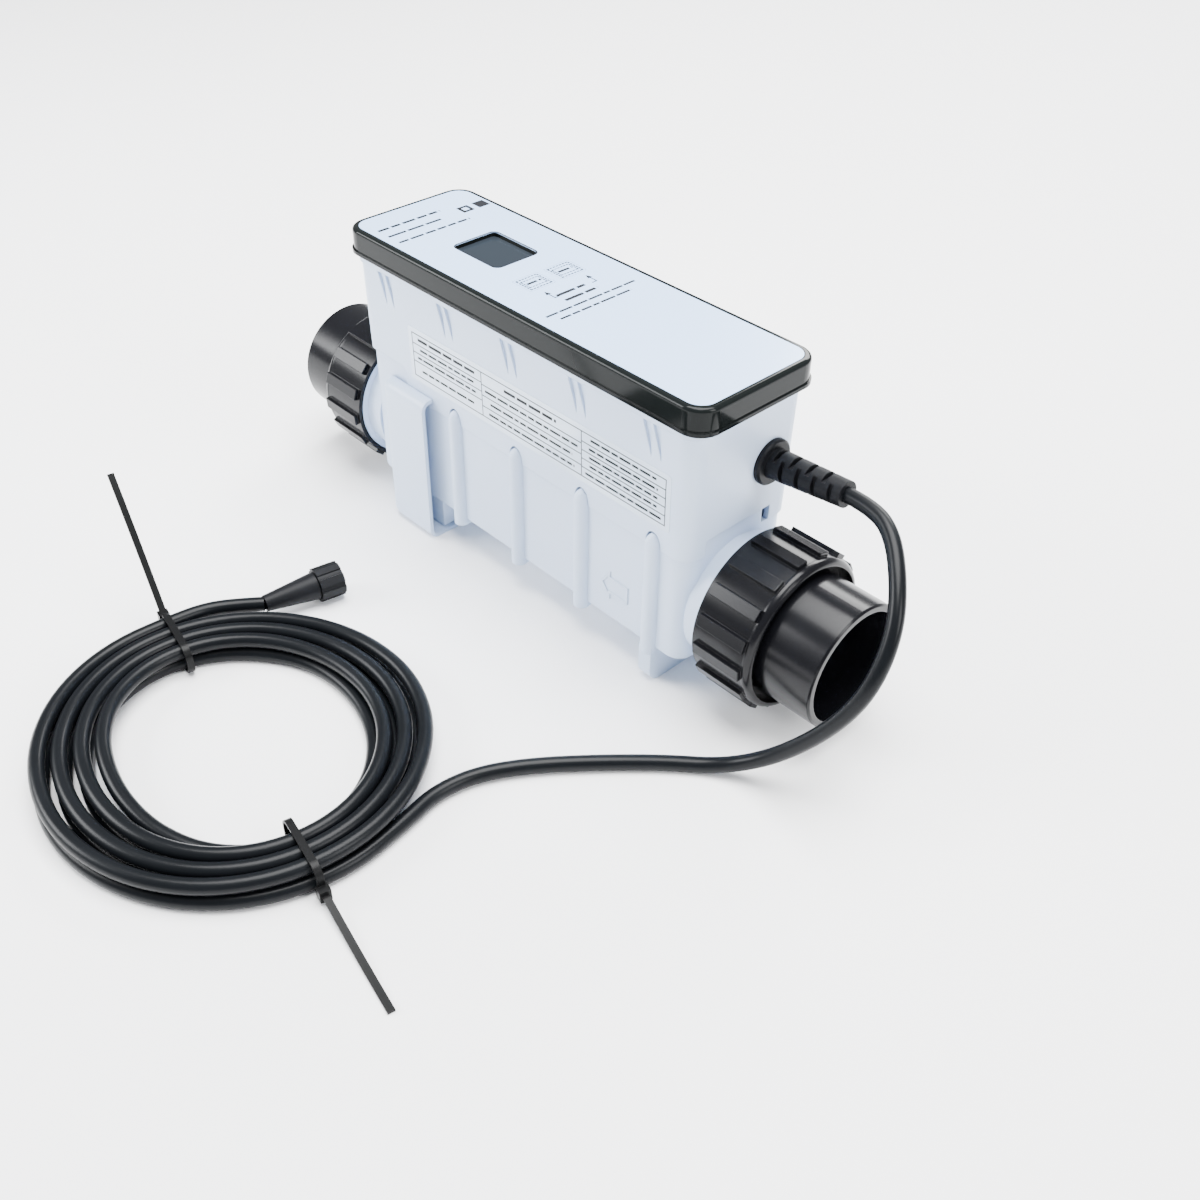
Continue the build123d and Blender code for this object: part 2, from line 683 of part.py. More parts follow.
with BuildPart() as flow_base:
    block(base_x, (-base_half_y, base_half_y), (cover_wall + base_gap, base_top))
    post(flow_x, 0, (base_top, stem_top), stem_r)
    for side in (-1, 1):
        ear_y = (side * (paddle_hub_half_y + ear_gap), side * (paddle_hub_half_y + ear_gap + ear_thickness))
        block((flow_x - ear_width / 2, flow_x + ear_width / 2), ear_y, (stem_top - 1, ear_top))
    with BuildSketch(Plane(origin=(flow_x, stem_r + 1, pivot_height), z_dir=(0, -1, 0))):
        Circle(pin_r)
    extrude(amount=2 * stem_r + 2, mode=Mode.SUBTRACT)
    for place in flow_screw_places:
        post(*place, (cover_wall, base_top + 1), screw_r + screw_gap, Mode.SUBTRACT)
        post(*place, (cover_wall, cover_wall + base_gap + screw_head_height), screw_head_r + screw_gap,
             Mode.SUBTRACT)
save(flow_base, "flow_base")

with BuildPart() as flow_gasket:
    post(flow_x, 0, (base_top, cell_bottom), stem_r + 6)
    post(flow_x, 0, (base_top - 1, cell_bottom + 1), stem_r + stem_gap, Mode.SUBTRACT)
save(flow_gasket, "flow_gasket")

with BuildPart() as flow_screws:
    head_z = (cover_wall + base_gap, cover_wall + base_gap + screw_head_height)
    for place in flow_screw_places:
        post(*place, head_z, screw_head_r)
        post(*place, (head_z[1], cell_bottom + screw_bite - 1.5), screw_r)
save(flow_screws, "flow_screws")

with BuildPart() as paddle_pin:
    with BuildSketch(Plane(origin=(flow_x, stem_r, pivot_height), z_dir=(0, -1, 0))):
        Circle(pin_r)
    extrude(amount=2 * stem_r)
save(paddle_pin, "paddle_pin")

with BuildPart() as flow_paddle:
    block((flow_x - paddle_thickness / 2, flow_x + paddle_thickness / 2), (-paddle_half_y, paddle_half_y),
          (ear_top + paddle_clear, paddle_top))
    block((flow_x - paddle_thickness / 2, flow_x + paddle_thickness / 2),
          (-paddle_hub_half_y, paddle_hub_half_y), (pivot_height, ear_top + 2 * paddle_clear))
    with BuildSketch(Plane(origin=(flow_x, paddle_hub_half_y, pivot_height), z_dir=(0, -1, 0))):
        Circle(2 * pin_r)
    extrude(amount=2 * paddle_hub_half_y)
    with BuildSketch(Plane(origin=(flow_x, paddle_hub_half_y + 1, pivot_height), z_dir=(0, -1, 0))):
        Circle(pin_r + pin_gap)
    extrude(amount=2 * paddle_hub_half_y + 2, mode=Mode.SUBTRACT)
save(flow_paddle, "flow_paddle")

# ------------------------------------------------------------------------ unions
port_end = spigot_end + port_reach
flange_x = (spigot_end + seal_gap, spigot_end + seal_gap + flange_thickness)
socket_floor = port_end - socket_depth
web_x = (flange_x[1] + union_gap, flange_x[1] + union_gap + union_web)
water_axis = Axis((0, 0, axis_height), (1, 0, 0))


def union_tail(side):
    with BuildPart() as tail:
        with BuildSketch(Plane.XZ):
            with BuildLine():
                Polyline(*[(side * x, axis_height + r) for x, r in (
                    (flange_x[0], waterway_r), (flange_x[0], flange_r), (flange_x[1], flange_r),
                    (flange_x[1], tail_r), (port_end - tail_lip, tail_r), (port_end, tail_r - tail_lip),
                    (port_end, socket_r), (socket_floor, socket_r), (socket_floor, waterway_r),
                    (flange_x[0], waterway_r))])
            make_face()
        revolve(axis=water_axis)
    return tail


def union_nut(side):
    shoulder_x = union_x[1] - union_shoulder
    bow = (shoulder_x + 0.75 * union_shoulder, union_r - 0.3 * (union_r - union_mouth_r))
    outside = [(side * x, axis_height + r) for x, r in (
        (shoulder_x, union_r), bow, (union_x[1], union_mouth_r))]
    with BuildPart() as nut:
        with BuildSketch(Plane.XZ):
            with BuildLine():
                Polyline(*[(side * x, axis_height + r) for x, r in (
                    (union_x[1], union_mouth_r), (union_x[1], union_recess_r), (web_x[1], union_recess_r),
                    (web_x[1], tail_r + tail_gap), (web_x[0], tail_r + tail_gap), (web_x[0], union_thread_r),
                    (union_x[0], union_thread_r), (union_x[0], union_r), (shoulder_x, union_r))])
                ThreePointArc(*outside)
            make_face()
        revolve(axis=water_axis)
        with BuildSketch(Plane(origin=(side * grip_x[0], 0, axis_height), x_dir=(0, 1, 0), z_dir=(1, 0, 0))):
            with PolarLocations((union_r - 1 + union_grip_r) / 2, grip_count, grip_angle):
                Rectangle(union_grip_r - union_r + 1, grip_width)
        extrude(amount=side * (grip_x[1] - grip_x[0]))
    return nut


def face_seal(side):
    with BuildPart() as ring:
        with BuildSketch(Plane.XZ):
            with Locations((side * (flange_x[0] - seal_section_r - 0.05), axis_height + seal_r)):
                Circle(seal_section_r)
        revolve(axis=water_axis)
    return ring


for name, side in (("left", -1), ("right", 1)):
    save(union_tail(side), f"{name}_union_tail")
    save(union_nut(side), f"{name}_union_nut")
    save(face_seal(side), f"{name}_seal")

# ------------------------------------------------------------------ strain relief
relief_plane = Plane(origin=(relief_x, relief_y, relief_z), x_dir=(0, 1, 0), z_dir=(1, 0, 0))
relief_lean = (cos(radians(relief_tilt)), 0, sin(radians(relief_tilt)))
relief_axis = Plane(origin=(relief_x + relief_flange / 2, relief_y, relief_z), x_dir=(0, 1, 0),
                    z_dir=relief_lean)

relief_taper = degrees(atan2(relief_r[0] - relief_r[1], relief_length))
with BuildPart() as strain_relief:
    with BuildSketch(relief_plane):
        Circle(relief_flange_r)
    extrude(amount=relief_flange)
    chamfer(strain_relief.edges().group_by(Axis.X)[-1], relief_flange / 3)
    with BuildSketch(relief_plane):
        Circle(relief_sleeve_r)
    extrude(amount=-relief_sleeve)
    with BuildSketch(relief_axis):
        Circle(relief_r[0])
    extrude(amount=relief_length, taper=relief_taper)
    slot_width, slot_length, slot_depth = relief_slot
    slot_inner_r = cord_d / 2 + 0.5
    for number in range(4):
        along = relief_length - 0.6 * relief_pitch - number * relief_pitch
        for turn, shift in ((0, 0), (90, -relief_pitch / 2)):
            with Locations(relief_axis.offset(along + shift)):
                with PolarLocations(slot_inner_r + slot_depth, 2, turn):
                    Box(2 * slot_depth, 2 * slot_length, slot_width, mode=Mode.SUBTRACT)
save(strain_relief, "strain_relief")

with BuildPart() as relief_nut:
    with BuildSketch(relief_plane.offset(-shell_wall - relief_nut_thickness - 0.6)):
        RegularPolygon(relief_nut_r, 6)
        Circle(relief_sleeve_r + 0.05, mode=Mode.SUBTRACT)
    extrude(amount=relief_nut_thickness)
save(relief_nut, "relief_nut")

# ------------------------------------------------------------------------- cord
relief_tip = relief_axis.offset(relief_length).origin
plug_axis = (cos(radians(plug_angle)), sin(radians(plug_angle)), 0)
plug_plane = Plane(origin=plug_point, x_dir=(0, 0, 1), z_dir=plug_axis)
boot_back = plug_plane.offset(-boot_length).origin

# The cord hangs from the strain relief to the floor and runs along it into the coil.
cord_points = [
    tuple(relief_tip), (192, 15.5, 129.3), (208, 8, 126.3), (223.5, -6.5, 117), (234, -19.5, 104),
    (237, -31.5, 85.5), (232, -39, 66), (218, -44, 42), (198.5, -50, 18.5), (178, -60, 4.6),
    (158, -77, 4.1), (135, -102, 4.1), (114, -128, 4.1), (101, -151, 4.1), (97.5, -173, 5),
]
# The far end leaves the coil for the plug.
lead_points = [(-90, -199, 8), (-86.5, -183, 8.2), (-79, -169, 9.2), tuple(boot_back)]


def bend_radii(points):
    radii = []
    for before, here, after in zip(points, points[1:], points[2:]):
        turn = (Vector(*here) - Vector(*before)).get_angle(Vector(*after) - Vector(*here))
        radii.append(0.45 * min(dist(before, here), dist(here, after)) / tan(radians(turn / 2)))
    return radii


def cord_tube(points, name):
    radii = bend_radii(points)
    print(name, "bend radii", [round(radius) for radius in radii])
    with BuildPart() as tube:
        with BuildLine() as route:
            FilletPolyline(*points, radius=radii)
        with BuildSketch(Plane(origin=points[0], z_dir=Vector(*points[1]) - Vector(*points[0]))):
            Circle(cord_d / 2)
        sweep(path=route.wires()[0])
    section = pi * (cord_d / 2) ** 2
    print(name, "length", round(route.wires()[0].length, 1), "volume over section times length",
          round(tube.part.volume / (section * route.wires()[0].length), 4))
    return tube


save(cord_tube(cord_points, "power_cord"), "power_cord")
save(cord_tube(lead_points, "cord_lead"), "cord_lead")

with BuildPart() as cord_coil:
    with BuildSketch(Plane(origin=(*coil_centre, 0), x_dir=(1, 0, 0), z_dir=(0, -1, 0))):
        with Locations((sum(coil_r) / 2, coil_height / 2)):
            RectangleRounded(coil_r[1] - coil_r[0], coil_height, coil_round)
    revolve(axis=Axis((*coil_centre, 0), (0, 0, 1)))
save(cord_coil, "cord_coil")

# -------------------------------------------------------------------- connector
with BuildPart() as connector_boot:
    with BuildSketch(plug_plane.offset(-boot_length)):
        Circle(cord_d / 2 + 0.6)
    with BuildSketch(plug_plane):
        Circle(boot_r)
    loft()
save(connector_boot, "connector_boot")

plug_stages = (
    (0, plug_web + 1, plug_stub_r),
    (plug_web + 2 * plug_gap, plug_web + 3, plug_flange_r),
    (plug_web + 3, plug_nut - 1, plug_body_r),
)

with BuildPart() as connector_body:
    for start, end, radius in plug_stages:
        with BuildSketch(plug_plane.offset(start)):
            Circle(radius)
        extrude(amount=end - start)
    with BuildSketch(plug_plane.offset(plug_nut - 1)):
        with PolarLocations(pin_circle_r, 4, 45):
            Circle(contact_r + 0.3)
    extrude(amount=-6, mode=Mode.SUBTRACT)
save(connector_body, "connector_body")

with BuildPart() as connector_contacts:
    with BuildSketch(plug_plane.offset(plug_nut - 7)):
        with PolarLocations(pin_circle_r, 4, 45):
            Circle(contact_r)
    extrude(amount=5.5)
save(connector_contacts, "connector_contacts")

with BuildPart() as coupling_nut:
    with BuildSketch(plug_plane.offset(plug_gap)):
        Circle(plug_nut_r)
        with PolarLocations((plug_nut_r + plug_grip_r) / 2 - 0.5, 8, 10):
            Rectangle(plug_grip_r - plug_nut_r + 1, plug_grip_width)
    extrude(amount=plug_nut - plug_gap)
    with BuildSketch(plug_plane.offset(plug_gap)):
        Circle(plug_stub_r + plug_gap)
    extrude(amount=plug_web, mode=Mode.SUBTRACT)
    with BuildSketch(plug_plane.offset(plug_web + plug_gap)):
        Circle(plug_bore_r)
    extrude(amount=plug_nut, mode=Mode.SUBTRACT)
save(coupling_nut, "coupling_nut")


# ------------------------------------------------------------------- cable ties
def cable_tie(angle, head_height, tail):
    heading = (cos(radians(angle)), sin(radians(angle)), 0)
    aside = (sin(radians(angle)), -cos(radians(angle)), 0)
    loop_middle = ((tie_inner_r + coil_r[1]) / 2, (coil_height + tie_thickness) / 2)
    loop_size = (coil_r[1] - tie_inner_r + tie_thickness, coil_height + tie_thickness)
    with BuildPart() as tie:
        with BuildSketch(Plane(origin=(*coil_centre, 0), x_dir=heading, z_dir=aside)):
            with Locations(loop_middle):
                RectangleRounded(loop_size[0] + tie_thickness, loop_size[1], coil_round)
                RectangleRounded(loop_size[0] - tie_thickness, loop_size[1] - 2 * tie_thickness,
                                 coil_round - tie_thickness, mode=Mode.SUBTRACT)
        extrude(amount=tie_width / 2, both=True)
        with BuildSketch(Plane(origin=(*coil_centre, 0), x_dir=heading, z_dir=aside)):
            with Locations((coil_r[1] + tie_head[0] / 2, head_height)):
                Rectangle(tie_head[0], tie_head[1])
        extrude(amount=tie_width / 2 + 1, both=True)
        with BuildSketch(Plane(origin=(*coil_centre, 0), x_dir=heading, z_dir=aside)):
            with BuildLine() as run:
                Spline(*tail)
            trace(line_width=tie_thickness)
        extrude(amount=tie_width / 2, both=True)
    return tie


head_u = coil_r[1] + tie_head[0] - 1
save(cable_tie(front_tie_angle, 5, [(head_u, 5), (head_u + 28, 2), (head_u + 66, 0.8)]), "front_tie")
save(cable_tie(rear_tie_angle, 12, [(head_u - 3, 14), (head_u + 18, 40), (head_u + 50, 75)]), "rear_tie")

# ----------------------------------------------------------------- rating label
label_lean = radians(shell_draft)
label_plane = Plane(origin=(sum(label_x) / 2, -shell_half_y_at(sum(label_z) / 2), sum(label_z) / 2),
                    x_dir=(1, 0, 0), z_dir=(0, -cos(label_lean), -sin(label_lean)))
with BuildPart() as rating_label:
    with BuildSketch(label_plane):
        RectangleRounded(label_x[1] - label_x[0], label_z[1] - label_z[0], 2)
    extrude(amount=label_thickness)
save(rating_label, "rating_label")
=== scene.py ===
import bpy
import bmesh
import random
from math import cos, exp, pi, radians, sin, tan
from mathutils import Matrix, Vector


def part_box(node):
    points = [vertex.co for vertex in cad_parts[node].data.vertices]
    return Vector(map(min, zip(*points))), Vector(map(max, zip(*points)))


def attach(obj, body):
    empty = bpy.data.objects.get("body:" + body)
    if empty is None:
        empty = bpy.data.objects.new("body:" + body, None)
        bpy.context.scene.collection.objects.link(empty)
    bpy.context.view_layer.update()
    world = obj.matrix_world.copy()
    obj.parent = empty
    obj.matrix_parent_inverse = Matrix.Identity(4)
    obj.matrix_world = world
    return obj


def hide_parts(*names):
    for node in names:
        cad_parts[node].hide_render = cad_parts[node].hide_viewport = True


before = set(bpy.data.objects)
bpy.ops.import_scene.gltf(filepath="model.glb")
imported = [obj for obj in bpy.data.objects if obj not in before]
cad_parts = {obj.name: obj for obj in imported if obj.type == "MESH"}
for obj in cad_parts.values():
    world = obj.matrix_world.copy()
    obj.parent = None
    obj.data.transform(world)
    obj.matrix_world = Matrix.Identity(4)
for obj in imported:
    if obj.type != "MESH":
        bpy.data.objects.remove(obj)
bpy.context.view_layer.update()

mm = 0.001

camera = {
    "place": (0.4587, -0.4186, 0.4770),
    "right": (0.68907, 0.72451, 0.01675),
    "up": (-0.46785, 0.42708, 0.77378),
    "lens": 39.9,
    "sensor": 36,
    "nearest": 0.01,
}


def addCamera():
    data = bpy.data.cameras.new("camera")
    data.lens = camera["lens"]
    data.sensor_width = camera["sensor"]
    data.clip_start = camera["nearest"]
    right = Vector(camera["right"]).normalized()
    up = Vector(camera["up"]).normalized()
    back = right.cross(up)
    turn = Matrix((right, up, back)).transposed().to_4x4()
    obj = bpy.data.objects.new("camera", data)
    obj.matrix_world = Matrix.Translation(camera["place"]) @ turn
    bpy.context.collection.objects.link(obj)
    bpy.context.scene.camera = obj


addCamera()
print("camera done")

# Each finish has a base colour, roughness, grain (bump height and size in mm) and rounding of edges in mm.
# Some add coat, shade (spread of tone), soft (light that goes in), shine (specular level), ior or metal.
finishes = {
    "housing": {"colour": (0.56, 0.67, 0.85), "rough": 0.36, "grain": (0.02, 1.1), "edge": 0.9,
                "soft": 0.12, "shade": 0.025, "coat": 0.1},
    "bezel": {"colour": (0.006, 0.0075, 0.0075), "rough": 0.09, "grain": (0.002, 6.0), "edge": 0.5,
              "ior": 1.2},
    "film": {"colour": (0.44, 0.62, 0.92), "rough": 0.3, "grain": (0.002, 0.6), "edge": 0.15,
             "coat": 0.15, "shade": 0.012},
    "blackGloss": {"colour": (0.004, 0.0042, 0.0055), "rough": 0.22, "grain": (0.012, 2.2), "edge": 0.7,
                   "shade": 0.3, "ior": 1.28},
    "blackSatin": {"colour": (0.006, 0.0065, 0.008), "rough": 0.42, "grain": (0.03, 0.5), "edge": 0.4,
                   "shade": 0.3, "ior": 1.2},
    "cord": {"colour": (0.004, 0.0048, 0.006), "rough": 0.3, "grain": (0.02, 1.6), "edge": 0.0,
             "shade": 0.35, "ior": 1.22},
    "tie": {"colour": (0.005, 0.0052, 0.0055), "rough": 0.33, "grain": (0.01, 0.8), "edge": 0.2, "ior": 1.2},
    "display": {"colour": (0.05, 0.065, 0.075), "rough": 0.3, "grain": (0.001, 3.0), "edge": 0.1},
    "labelFilm": {"colour": (0.66, 0.77, 0.92), "rough": 0.22, "grain": (0.004, 5.0), "edge": 0.05,
                  "coat": 0.5},
    "ink": {"colour": (0.008, 0.009, 0.012), "rough": 0.5, "grain": (0.001, 1.0), "edge": 0.0, "shine": 0.2},
    "inkSoft": {"colour": (0.012, 0.015, 0.02), "rough": 0.5, "grain": (0.001, 1.0), "edge": 0.0,
                "shine": 0.2},
    "rubber": {"colour": (0.02, 0.02, 0.021), "rough": 0.6, "grain": (0.02, 0.4), "edge": 0.2},
    "steel": {"colour": (0.58, 0.58, 0.57), "rough": 0.28, "grain": (0.004, 0.3), "edge": 0.2, "metal": 1.0},
    "titanium": {"colour": (0.34, 0.32, 0.30), "rough": 0.45, "grain": (0.01, 0.25), "edge": 0.1,
                 "metal": 1.0},
    "brass": {"colour": (0.72, 0.54, 0.25), "rough": 0.25, "grain": (0.003, 0.3), "edge": 0.1, "metal": 1.0},
    "board": {"colour": (0.02, 0.14, 0.06), "rough": 0.4, "grain": (0.02, 0.9), "edge": 0.1, "coat": 0.2},
    "greyPlastic": {"colour": (0.42, 0.44, 0.45), "rough": 0.45, "grain": (0.02, 0.7), "edge": 0.3},
    "darkPart": {"colour": (0.03, 0.03, 0.04), "rough": 0.4, "grain": (0.02, 0.6), "edge": 0.3},
}
# What the finishes share: how tone and gloss drift, and how the grain stands up.
surface = {
    "ior": 1.46,
    "shine": 0.5,
    "coatRough": 0.08,
    "softReach": (0.004, 0.004, 0.005),
    "driftScale": 22.0,
    "driftDetail": 4.0,
    "shade": 0.06,
    "gloss": (0.85, 1.2),
    "grainDetail": 3.0,
    "grainStrength": 0.6,
    "edgeSamples": 6,
}


def makeMaterial(name, look):
    material = bpy.data.materials.new(name)
    material.use_nodes = True
    nodes = material.node_tree.nodes
    links = material.node_tree.links
    shader = nodes["Principled BSDF"]
    shader.inputs["Metallic"].default_value = look.get("metal", 0.0)
    shader.inputs["Coat Weight"].default_value = look.get("coat", 0.0)
    shader.inputs["Coat Roughness"].default_value = surface["coatRough"]
    shader.inputs["Specular IOR Level"].default_value = look.get("shine", surface["shine"])
    shader.inputs["IOR"].default_value = look.get("ior", surface["ior"])
    if look.get("soft"):
        shader.inputs["Subsurface Weight"].default_value = look["soft"]
        shader.inputs["Subsurface Radius"].default_value = surface["softReach"]
    place = nodes.new("ShaderNodeTexCoord")

    # A slow drift of tone and gloss over the piece.
    drift = nodes.new("ShaderNodeTexNoise")
    drift.inputs["Scale"].default_value = surface["driftScale"]
    drift.inputs["Detail"].default_value = surface["driftDetail"]
    links.new(place.outputs["Object"], drift.inputs["Vector"])
    tone = nodes.new("ShaderNodeMix")
    tone.data_type = "RGBA"
    spread = look.get("shade", surface["shade"])
    tone.inputs["A"].default_value = (*[c * (1 - spread) for c in look["colour"]], 1)
    tone.inputs["B"].default_value = (*[min(c * (1 + spread), 1) for c in look["colour"]], 1)
    links.new(drift.outputs["Fac"], tone.inputs["Factor"])
    links.new(tone.outputs["Result"], shader.inputs["Base Color"])
    gloss = nodes.new("ShaderNodeMapRange")
    low, high = surface["gloss"]
    gloss.inputs["To Min"].default_value = look["rough"] * low
    gloss.inputs["To Max"].default_value = look["rough"] * high
    links.new(drift.outputs["Fac"], gloss.inputs["Value"])
    links.new(gloss.outputs["Result"], shader.inputs["Roughness"])

    height, size = look["grain"]
    grain = nodes.new("ShaderNodeTexNoise")
    grain.inputs["Scale"].default_value = 1 / (size * mm)
    grain.inputs["Detail"].default_value = surface["grainDetail"]
    links.new(place.outputs["Object"], grain.inputs["Vector"])
    bump = nodes.new("ShaderNodeBump")
    bump.inputs["Distance"].default_value = height * mm
    bump.inputs["Strength"].default_value = surface["grainStrength"]
    links.new(grain.outputs["Fac"], bump.inputs["Height"])
    if look["edge"]:
        rounding = nodes.new("ShaderNodeBevel")
        rounding.samples = surface["edgeSamples"]
        rounding.inputs["Radius"].default_value = look["edge"] * mm
        links.new(rounding.outputs["Normal"], bump.inputs["Normal"])
    links.new(bump.outputs["Normal"], shader.inputs["Normal"])
    return material


materials = {name: makeMaterial(name, look) for name, look in finishes.items()}


glass = {
    "colour": (0.017, 0.022, 0.028),
    "ior": 1.16,
    "smearScale": 60,
    "rough": (0.06, 0.2),
}


def glassMaterial():
    material = bpy.data.materials.new("windowGlass")
    material.use_nodes = True
    nodes = material.node_tree.nodes
    links = material.node_tree.links
    shader = nodes["Principled BSDF"]
    shader.inputs["Base Color"].default_value = (*glass["colour"], 1)
    shader.inputs["IOR"].default_value = glass["ior"]
    place = nodes.new("ShaderNodeTexCoord")
    smear = nodes.new("ShaderNodeTexNoise")
    smear.inputs["Scale"].default_value = glass["smearScale"]
    links.new(place.outputs["Object"], smear.inputs["Vector"])
    gloss = nodes.new("ShaderNodeMapRange")
    clean, smeared = glass["rough"]
    gloss.inputs["To Min"].default_value = clean
    gloss.inputs["To Max"].default_value = smeared
    links.new(smear.outputs["Fac"], gloss.inputs["Value"])
    links.new(gloss.outputs["Result"], shader.inputs["Roughness"])
    return material


materials["windowGlass"] = glassMaterial()

nodeFinish = {
    "housing": ["cell_body", "electronics_shell", "flow_cover", "flow_base", "terminal_plate"],
    "bezel": ["lid_bezel"],
    "film": ["overlay_panel", "less_key", "more_key"],
    "windowGlass": ["display_window"],
    "display": ["display_module"],
    "blackGloss": ["left_union_nut", "right_union_nut", "left_union_tail", "right_union_tail"],
    "blackSatin": ["strain_relief", "connector_boot", "coupling_nut"],
    "labelFilm": ["rating_label"],
    "tie": ["front_tie", "rear_tie"],
    "rubber": ["cell_gasket", "lid_gasket", "flow_gasket", "left_seal", "right_seal"],
    "steel": ["terminal_nuts", "temperature_probe", "shell_screws", "control_board_screws",
              "driver_board_screws", "flow_screws", "paddle_pin"],
    "titanium": ["anode_plates", "cathode_plates", "anode_bus", "cathode_bus", "terminal_studs"],
    "brass": ["connector_contacts"],
    "board": ["control_board", "driver_board"],
    "greyPlastic": ["plate_combs", "flow_paddle", "driver_board_posts", "control_board_posts"],
    "darkPart": ["capacitors", "relay", "key_switches", "relief_nut", "connector_body"],
    "cord": ["power_cord", "cord_coil", "cord_lead"],
}

for finish, names in nodeFinish.items():
    for name in names:
        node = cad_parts[name]
        node.data.materials.clear()
        node.data.materials.append(materials[finish])
print("materials done")

cordWidth = 8 * mm
# The coil is wound in on the floor, then out again on top of itself. Its sizes are in millimetres and its
# angles in degrees, and the two phases and the dent's spread are in radians.
coil = {
    "middle": (8.0, -225.0),
    "outer": 98.6,
    "tieAngle": -11.0,
    "startAngle": 20.0,
    "endAngle": 165.0,
    "wholeTurns": 6,
    "pitch": 8.25,
    "loosening": 2.7,
    "low": 4.1,
    "high": 12.4,
    "climbTurn": 3.25,
    "climbLength": 0.4,
    "pointsPerTurn": 16,
    "oval": 1.6,
    "ovalPhase": 0.8,
    "pinch": 1.8,
    "topDrift": 3.0,
    "topDriftPhase": 0.7,
    "dent": 3.4,
    "dentAngle": 146.0,
    "dentSpread": 0.42,
}
# From the strain relief down to the floor and along it to the coil, in millimetres.
hangingPoints = [
    (192, 15.5, 129.3), (208, 8, 126.3), (223.5, -6.5, 117), (234, -19.5, 104), (237, -31.5, 85.5),
    (232, -39, 66), (218, -44, 42), (198.5, -50, 18.5), (178, -60, 4.6), (158, -77, 4.1), (135, -102, 4.1),
    (114, -128, 4.1), (101, -151, 4.1), (97.5, -173, 4.1),
]
leadPoints = [(-86.5, -183, 11.2), (-79, -169, 10.6)]
reliefTip = Vector((174.93, 17.0, 127.82))
bootBack = Vector((-71.016, -157.908, 10.2))


def coilPoint(turned):
    # Centre of the cord after so many turns, clockwise from above, in millimetres.
    angle = radians(coil["startAngle"]) - 2 * pi * turned
    peak = coil["climbTurn"]
    lane = turned if turned < peak else 2 * peak - turned
    climb = min(max((turned - peak) / coil["climbLength"] + 0.5, 0), 1)
    climb = climb * climb * (3 - 2 * climb)
    loose = sin(angle - radians(coil["tieAngle"])) ** 2
    spacing = coil["pitch"] + coil["loosening"] * loose
    wave = coil["oval"] * sin(2 * angle + coil["ovalPhase"]) - coil["pinch"] * loose
    topDrift = coil["topDrift"] * climb * loose * sin(angle + coil["topDriftPhase"])
    fromDent = (angle % (2 * pi) - radians(coil["dentAngle"])) / coil["dentSpread"]
    dent = coil["dent"] * exp(-fromDent ** 2) * (1 - climb)
    r = coil["outer"] - lane * spacing + wave + topDrift - dent
    z = coil["low"] + (coil["high"] - coil["low"]) * climb
    return (coil["middle"][0] + r * cos(angle), coil["middle"][1] + r * sin(angle), z)


def coilPoints():
    total = coil["wholeTurns"] + ((coil["startAngle"] - coil["endAngle"]) % 360) / 360
    count = round(total * coil["pointsPerTurn"])
    return [coilPoint(total * index / count) for index in range(count + 1)]


def addCord():
    route = [reliefTip, *hangingPoints, *coilPoints(), *leadPoints, bootBack]
    curve = bpy.data.curves.new("powerCord", "CURVE")
    curve.dimensions = "3D"
    curve.bevel_depth = cordWidth / 2
    curve.bevel_resolution = 6
    curve.resolution_u = 6
    curve.use_fill_caps = True
    spline = curve.splines.new("NURBS")
    spline.points.add(len(route) - 1)
    for point, place in zip(spline.points, route):
        point.co = (*(Vector(place) * mm), 1)
    spline.order_u = 3
    spline.use_endpoint_u = True
    curve.materials.append(materials["cord"])
    obj = bpy.data.objects.new("powerCord", curve)
    bpy.context.collection.objects.link(obj)
    return obj


cord = addCord()
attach(cord, "housing")
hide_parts("power_cord", "cord_coil", "cord_lead")
print("cord done")

# Printing: plain bars, lines and dashes that stand for small print, with no letters. Millimetres.
inkThickness = 0.05
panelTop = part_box("overlay_panel")[1][2] / mm
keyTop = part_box("less_key")[1][2] / mm
labelLow, labelHigh = [Vector(corner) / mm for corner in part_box("rating_label")]

# One word-length bar of a row, in heights of the row.
word = {
    "length": (1.4, 3.8),
    "low": 0.22,
    "high": 0.78,
    "gap": 0.45,
}
dashPitch = 1.5  # from one dash to the next, in dash lengths


def bar(u0, v0, u1, v1):
    return [(u0, v0), (u1, v0), (u1, v1), (u0, v1)]


def outline(u0, v0, u1, v1, line):
    return [
        bar(u0, v0, u1, v0 + line),
        bar(u0, v1 - line, u1, v1),
        bar(u0, v0 + line, u0 + line, v1 - line),
        bar(u1 - line, v0 + line, u1, v1 - line),
    ]


def dashes(u0, v0, u1, v1, line, dash):
    # A dashed rectangle.
    shapes = []
    across = max(round((u1 - u0) / dash / dashPitch), 1)
    upwards = max(round((v1 - v0) / dash / dashPitch), 1)
    for index in range(across):
        start = u0 + (u1 - u0) * index / across
        shapes += [bar(start, v0, start + dash, v0 + line), bar(start, v1 - line, start + dash, v1)]
    for index in range(upwards):
        start = v0 + (v1 - v0) * index / upwards
        shapes += [bar(u0, start, u0 + line, start + dash), bar(u1 - line, start, u1, start + dash)]
    return shapes


def markRow(u, v, length, height, choose):
    # Word-length bars along a row whose foot is at v, standing for a line of print.
    shapes = []
    at = u
    while at < u + length:
        end = min(at + height * choose.uniform(*word["length"]), u + length)
        shapes.append(bar(at, v + height * word["low"], end, v + height * word["high"]))
        at = end + height * word["gap"]
    return shapes


